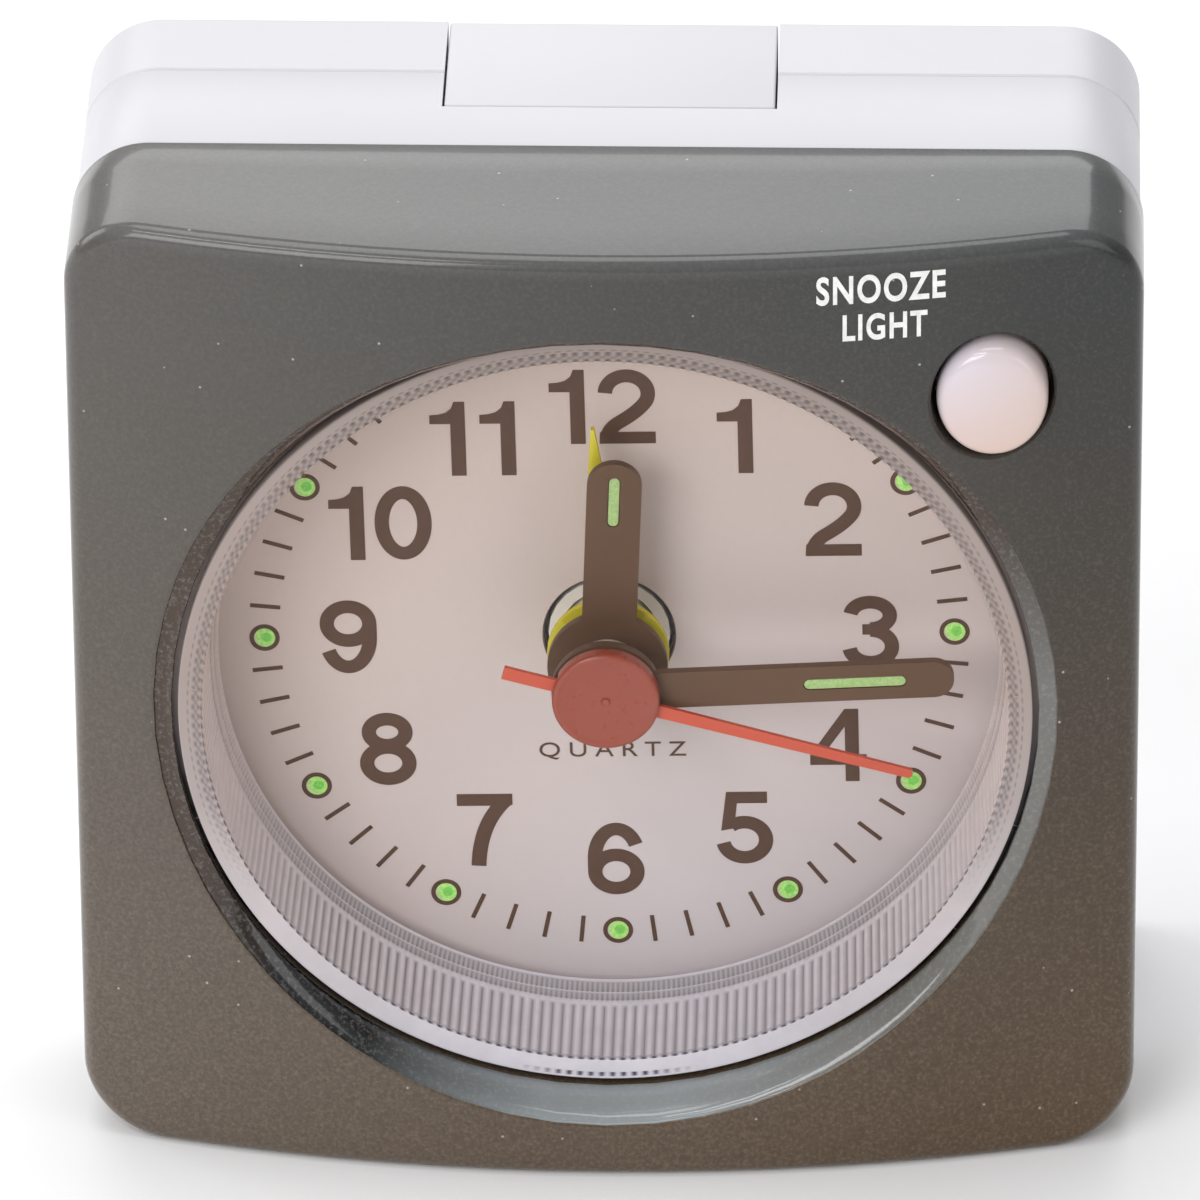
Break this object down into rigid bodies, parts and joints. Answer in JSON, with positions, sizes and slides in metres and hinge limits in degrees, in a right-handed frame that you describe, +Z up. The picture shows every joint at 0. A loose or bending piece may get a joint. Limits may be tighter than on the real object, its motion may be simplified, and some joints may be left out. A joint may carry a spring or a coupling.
{
  "type": "alarm clock",
  "caption": "Small square quartz alarm clock: curved grey bezel, white case, round dial under a ribbed ring, hands, front snooze button, top alarm bar, rear knobs and battery door.",
  "frame": {"origin": "middle of the clock's box, on the surface it stands on", "axes": "+Z up, the dial faces -Y, +X is the right as one looks at the dial"},
  "size_m": [0.066, 0.0334, 0.0654],
  "materials": {
    "bezel_grey": "smooth gloss grey, softly reflective",
    "case_white": "satin to gloss white",
    "lens_clear": "clear polished",
    "ring_clear": "clear with fine axial ribs",
    "dial_print": "matt pale dial with printed numerals",
    "button_white": "gloss white",
    "knob_grey": "satin grey",
    "hand_brown": "matt dark brown with pale green luminous inlay",
    "hand_red": "satin red",
    "hand_yellow": "matt yellow",
    "movement_plastic": "natural moulded plastic",
    "gear_plastic": "natural moulded plastic",
    "gear_brass": "turned",
    "steel": "plated",
    "soft_iron": "stamped sheet",
    "magnet": "ground",
    "copper_wire": "enamelled wire",
    "board_green": "solder mask",
    "black_plastic": "moulded",
    "sounder_brass": "thin disc",
    "cell_jacket": "printed jacket, plain",
    "lamp_clear": "clear"
  },
  "bodies": {
    "case": {"front_bezel": "bezel_grey", "front_lens": "lens_clear", "ribbed_ring": "ring_clear", "dial_plate": "dial_print", "middle_case": "case_white", "rear_case": "case_white", "case_screw_1": "steel", "case_screw_2": "steel", "case_screw_3": "steel", "case_screw_4": "steel", "movement_front": "movement_plastic", "movement_rear": "movement_plastic", "movement_screw_1": "steel", "movement_screw_2": "steel", "circuit_board": "board_green", "controller_chip": "black_plastic", "quartz_crystal": "steel", "stator_plate": "soft_iron", "drive_coil": "copper_wire", "coil_core": "soft_iron", "sounder": "sounder_brass", "alarm_switch": "black_plastic", "snooze_switch": "black_plastic", "switch_board": "board_green", "dial_lamp": "lamp_clear", "lamp_holder": "movement_plastic", "battery": "cell_jacket", "positive_contact": "steel", "negative_contact": "steel", "contact_spring": "steel"},
    "second_set": {"second_hand": "hand_red", "second_hub_cap": "hand_red", "second_wheel": "gear_plastic"},
    "minute_set": {"minute_hand": "hand_brown", "centre_wheel": "gear_brass"},
    "hour_set": {"hour_hand": "hand_brown", "hour_wheel": "gear_plastic"},
    "alarm_set": {"alarm_hand": "hand_yellow", "alarm_wheel": "gear_plastic"},
    "time_setter": {"minute_work_wheel": "gear_plastic", "time_set_knob": "knob_grey"},
    "alarm_setter": {"alarm_set_pinion": "gear_plastic", "alarm_set_knob": "knob_grey"},
    "third_gear": {"third_wheel": "gear_plastic"},
    "intermediate_gear": {"intermediate_wheel": "gear_plastic"},
    "rotor": {"rotor_pinion": "gear_plastic", "rotor_magnet": "magnet"},
    "snooze_button": {"snooze_button": "button_white"},
    "alarm_bar": {"alarm_bar": "case_white"},
    "battery_door": {"battery_door": "case_white"}
  },
  "joints": [
    {"name": "second_hand_turn", "type": "hinge", "parent": "case", "child": "second_set", "pos_m": [0, 0.00345, 0.03175], "axis": [0, 1, 0], "continuous": true},
    {"name": "minute_hand_turn", "type": "hinge", "parent": "case", "child": "minute_set", "pos_m": [0, 0.00345, 0.03175], "axis": [0, 1, 0], "continuous": true},
    {"name": "hour_hand_turn", "type": "hinge", "parent": "case", "child": "hour_set", "pos_m": [0, 0.00345, 0.03175], "axis": [0, 1, 0], "continuous": true},
    {"name": "time_knob_turn", "type": "hinge", "parent": "case", "child": "time_setter", "pos_m": [-0.00761, 0.00345, 0.0353], "axis": [0, 1, 0], "continuous": true},
    {"name": "third_wheel_turn", "type": "hinge", "parent": "case", "child": "third_gear", "pos_m": [0.00586, 0.00345, 0.02683], "axis": [0, 1, 0], "continuous": true},
    {"name": "intermediate_wheel_turn", "type": "hinge", "parent": "case", "child": "intermediate_gear", "pos_m": [-0.00052, 0.00345, 0.03773], "axis": [0, 1, 0], "continuous": true},
    {"name": "rotor_turn", "type": "hinge", "parent": "case", "child": "rotor", "pos_m": [-0.00052, 0.00345, 0.04333], "axis": [0, 1, 0], "continuous": true},
    {"name": "alarm_knob_turn", "type": "hinge", "parent": "case", "child": "alarm_setter", "pos_m": [0.00761, 0.00345, 0.0353], "axis": [0, 1, 0], "continuous": true},
    {"name": "alarm_hand_turn", "type": "hinge", "parent": "case", "child": "alarm_set", "pos_m": [0, 0.00345, 0.03175], "axis": [0, 1, 0], "continuous": true},
    {"name": "snooze_press", "type": "slide", "parent": "case", "child": "snooze_button", "axis": [0, 1, 0], "range_m": [0, 0.0009], "stiffness_N_per_m": 1200, "springref_m": -0.0008},
    {"name": "alarm_bar_press", "type": "slide", "parent": "case", "child": "alarm_bar", "axis": [0, 0, -1], "range_m": [0, 0.0014], "stiffness_N_per_m": 1200, "springref_m": -0.0008},
    {"name": "battery_door_swing", "type": "hinge", "parent": "case", "child": "battery_door", "pos_m": [0, 0.0144, 0.0039], "axis": [-1, 0, 0], "range_deg": [0, 75]}
  ],
  "couplings": [
    {"joint": "minute_hand_turn", "follows": "second_hand_turn", "ratio": 0.016667},
    {"joint": "hour_hand_turn", "follows": "second_hand_turn", "ratio": 0.0013889},
    {"joint": "time_knob_turn", "follows": "second_hand_turn", "ratio": -0.0055556},
    {"joint": "third_wheel_turn", "follows": "second_hand_turn", "ratio": -0.13333},
    {"joint": "intermediate_wheel_turn", "follows": "second_hand_turn", "ratio": -5},
    {"joint": "rotor_turn", "follows": "second_hand_turn", "ratio": 30},
    {"joint": "alarm_hand_turn", "follows": "alarm_knob_turn", "ratio": -0.4}
  ]
}
